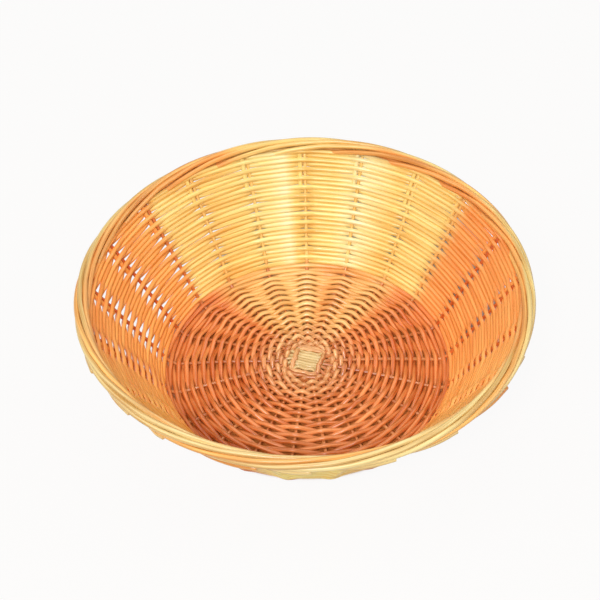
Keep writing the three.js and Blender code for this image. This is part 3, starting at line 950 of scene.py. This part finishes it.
# Painted shade, warmed as by bounce light, on the floor under the base, seen only through the weave.
PAINTED_SHADE_UNDER_BASE = (0.80, 0.26, 0.06, 1)
SHINING = 0.93  # how much of what the camera sees of the floor is shining white
PAINTED_SHADE_PATCH = ((5, 5, 5), (0, -0.01, 0), 0.375, 0.415)  # scale, shift, and from where to where
FOOT = ((5, 5, 5), (0, -0.035, 0), 0.405, 0.425)  # its edge lies in the scaled field
SHADOW = ((7.3, 5.83, 5), (-0.212, -0.321, 0), 0.6, 0.66)


def by_rays(owner, *kinds):
    """1 for the kinds of ray that see a surface directly, and 0 for those that light other things."""
    rays = add_node(owner, "ShaderNodeLightPath")
    seen = rays.outputs["Is Camera Ray"]
    for kind in kinds:
        seen = combined(owner, "MAXIMUM", seen, rays.outputs[kind])
    return seen


def beyond(owner, scale, shift, start, end):
    """0 within a round patch, and 1 beyond the end of its edge."""
    return stretched(owner, field(owner, "SPHERICAL", scale=scale, shift=shift), 1 - start, 1 - end)


def pale_floor():
    material = bpy.data.materials.new("pale_floor")
    material.use_nodes = True
    material.node_tree.nodes.clear()
    grain = add_node(material, "ShaderNodeTexNoise", {"Scale": 40})
    pale = ramp_of(material, grain.outputs["Fac"], FLOOR_TONES)
    matt = add_node(material, "ShaderNodeBsdfPrincipled", {
        "Base Color": blend(material, beyond(material, *PAINTED_SHADE_PATCH), PAINTED_SHADE_UNDER_BASE, pale),
        "Roughness": 0.9, "Specular IOR Level": 0.1,
    })
    clear = combined(material, "MINIMUM", beyond(material, *FOOT), beyond(material, *SHADOW))
    seen = by_rays(material, "Is Glossy Ray")
    share = combined(material, "MULTIPLY", combined(material, "MULTIPLY", seen, clear), SHINING)
    white = add_node(material, "ShaderNodeEmission")
    mix = add_node(material, "ShaderNodeMixShader", {
        0: share, 1: matt.outputs["BSDF"], 2: white.outputs["Emission"],
    })
    add_node(material, "ShaderNodeOutputMaterial", {"Surface": mix.outputs["Shader"]})
    return material


corners = [(x * FLOOR_HALF, y * FLOOR_HALF, 0) for x, y in ((-1, -1), (1, -1), (1, 1), (-1, 1))]
floor_mesh = bpy.data.meshes.new("floor")
floor_mesh.from_pydata(corners, [], [(0, 1, 2, 3)])
floor_mesh.materials.append(pale_floor())
floor = put_in_scene("floor", floor_mesh)
print("a floor of", 2 * FLOOR_HALF, "m across")

# %% [markdown]
# ## Lamps and room
#
# The photograph is lit softly from all round. A broad lamp stands in front and above, so that its
# light falls on the far inside wall and draws a bright line along each row there. Weaker lamps on
# both sides and above fill the bowl. The room is a dim white, so that the weave keeps its depth.
# What the camera, and anything glossy or clear, sees of the room is plain white.

# %% Hang the lamps and light the room
LAMPS_AIM = Vector((0, 0, 0.03))  # the middle of the bowl
ROOM_LIGHT, ROOM_SEEN = 0.15, 1.0  # how strongly it lights, and how bright it is seen


def soft_lamp(name, place, size, watts):
    light = bpy.data.lights.new(name, "AREA")
    light.shape = "RECTANGLE"
    light.size, light.size_y = size
    light.energy = watts
    lamp = put_in_scene(name, light)
    lamp.location = place
    lamp.rotation_mode = "QUATERNION"
    lamp.rotation_quaternion = (LAMPS_AIM - Vector(place)).to_track_quat("-Z", "Y")


soft_lamp("front_lamp", (-0.25, -1.4, 1.6), (0.7, 0.5), 31)
soft_lamp("left_lamp", (-1.6, -0.1, 1.3), (1.0, 0.8), 9)
soft_lamp("right_lamp", (1.6, -0.1, 1.3), (1.0, 0.8), 9)
soft_lamp("top_lamp", (0.0, 0.3, 2.0), (1.2, 1.2), 9)

room = bpy.data.worlds.new("soft_white_room")
room.use_nodes = True
room.node_tree.nodes.clear()
seen = by_rays(room, "Is Glossy Ray", "Is Transmission Ray")
strength = stretched(room, seen, 0, 1, ROOM_LIGHT, ROOM_SEEN)
sky = add_node(room, "ShaderNodeBackground", {"Color": (1, 1, 1, 1), "Strength": strength})
add_node(room, "ShaderNodeOutputWorld", {"Surface": sky.outputs["Background"]})
bpy.context.scene.world = room
bpy.context.scene.view_settings.view_transform = "Standard"
print("lamps:", {light.name: light.energy for light in bpy.data.lights})

# %% [markdown]
# ## The camera
#
# The photograph looks down at 48 degrees from about four basket widths away, with a long lens. The
# camera is tilted by a degree and a half, as the rim in the photograph is. It is aimed by turning
# it alone: first straight at a point in the basket, and then by the small angle that moves that
# point to its place in the picture.

# %% Aim the camera
PICTURE = 600  # pixels across and down
FOCAL = 1782.0  # of the lens, in pixels
SENSOR = 36.0  # of the camera, in millimetres
DISTANCE = 1.0  # from the camera to the point that it looks at, in metres
LOOK_AT = Vector((0, 0, 0.0117))
SEEN_AT = (307.85, 357.5)  # that point in the picture, in pixels from its top left corner
LOOK_DOWN = math.radians(48.01)
TILT = 0.0255  # in radians

level = Vector((1, 0, 0))
back = Vector((0, -math.cos(LOOK_DOWN), math.sin(LOOK_DOWN)))
upright = back.cross(level)
right = level * math.cos(TILT) - upright * math.sin(TILT)
up = upright * math.cos(TILT) + level * math.sin(TILT)
shown = right * (SEEN_AT[0] - PICTURE / 2) - up * (SEEN_AT[1] - PICTURE / 2) - back * FOCAL
swing = shown.normalized().rotation_difference(-back)
axes = [swing @ axis for axis in (right, up, back)]
camera_data = bpy.data.cameras.new("camera")
camera_data.sensor_width = SENSOR
camera_data.lens = FOCAL * SENSOR / PICTURE
camera_data.clip_start = 0.05
camera = put_in_scene("camera", camera_data)
camera.matrix_world = Matrix.Translation(LOOK_AT + back * DISTANCE) @ Matrix(axes).transposed().to_4x4()
bpy.context.scene.camera = camera
print("camera at", [round(v, 3) for v in camera.location])
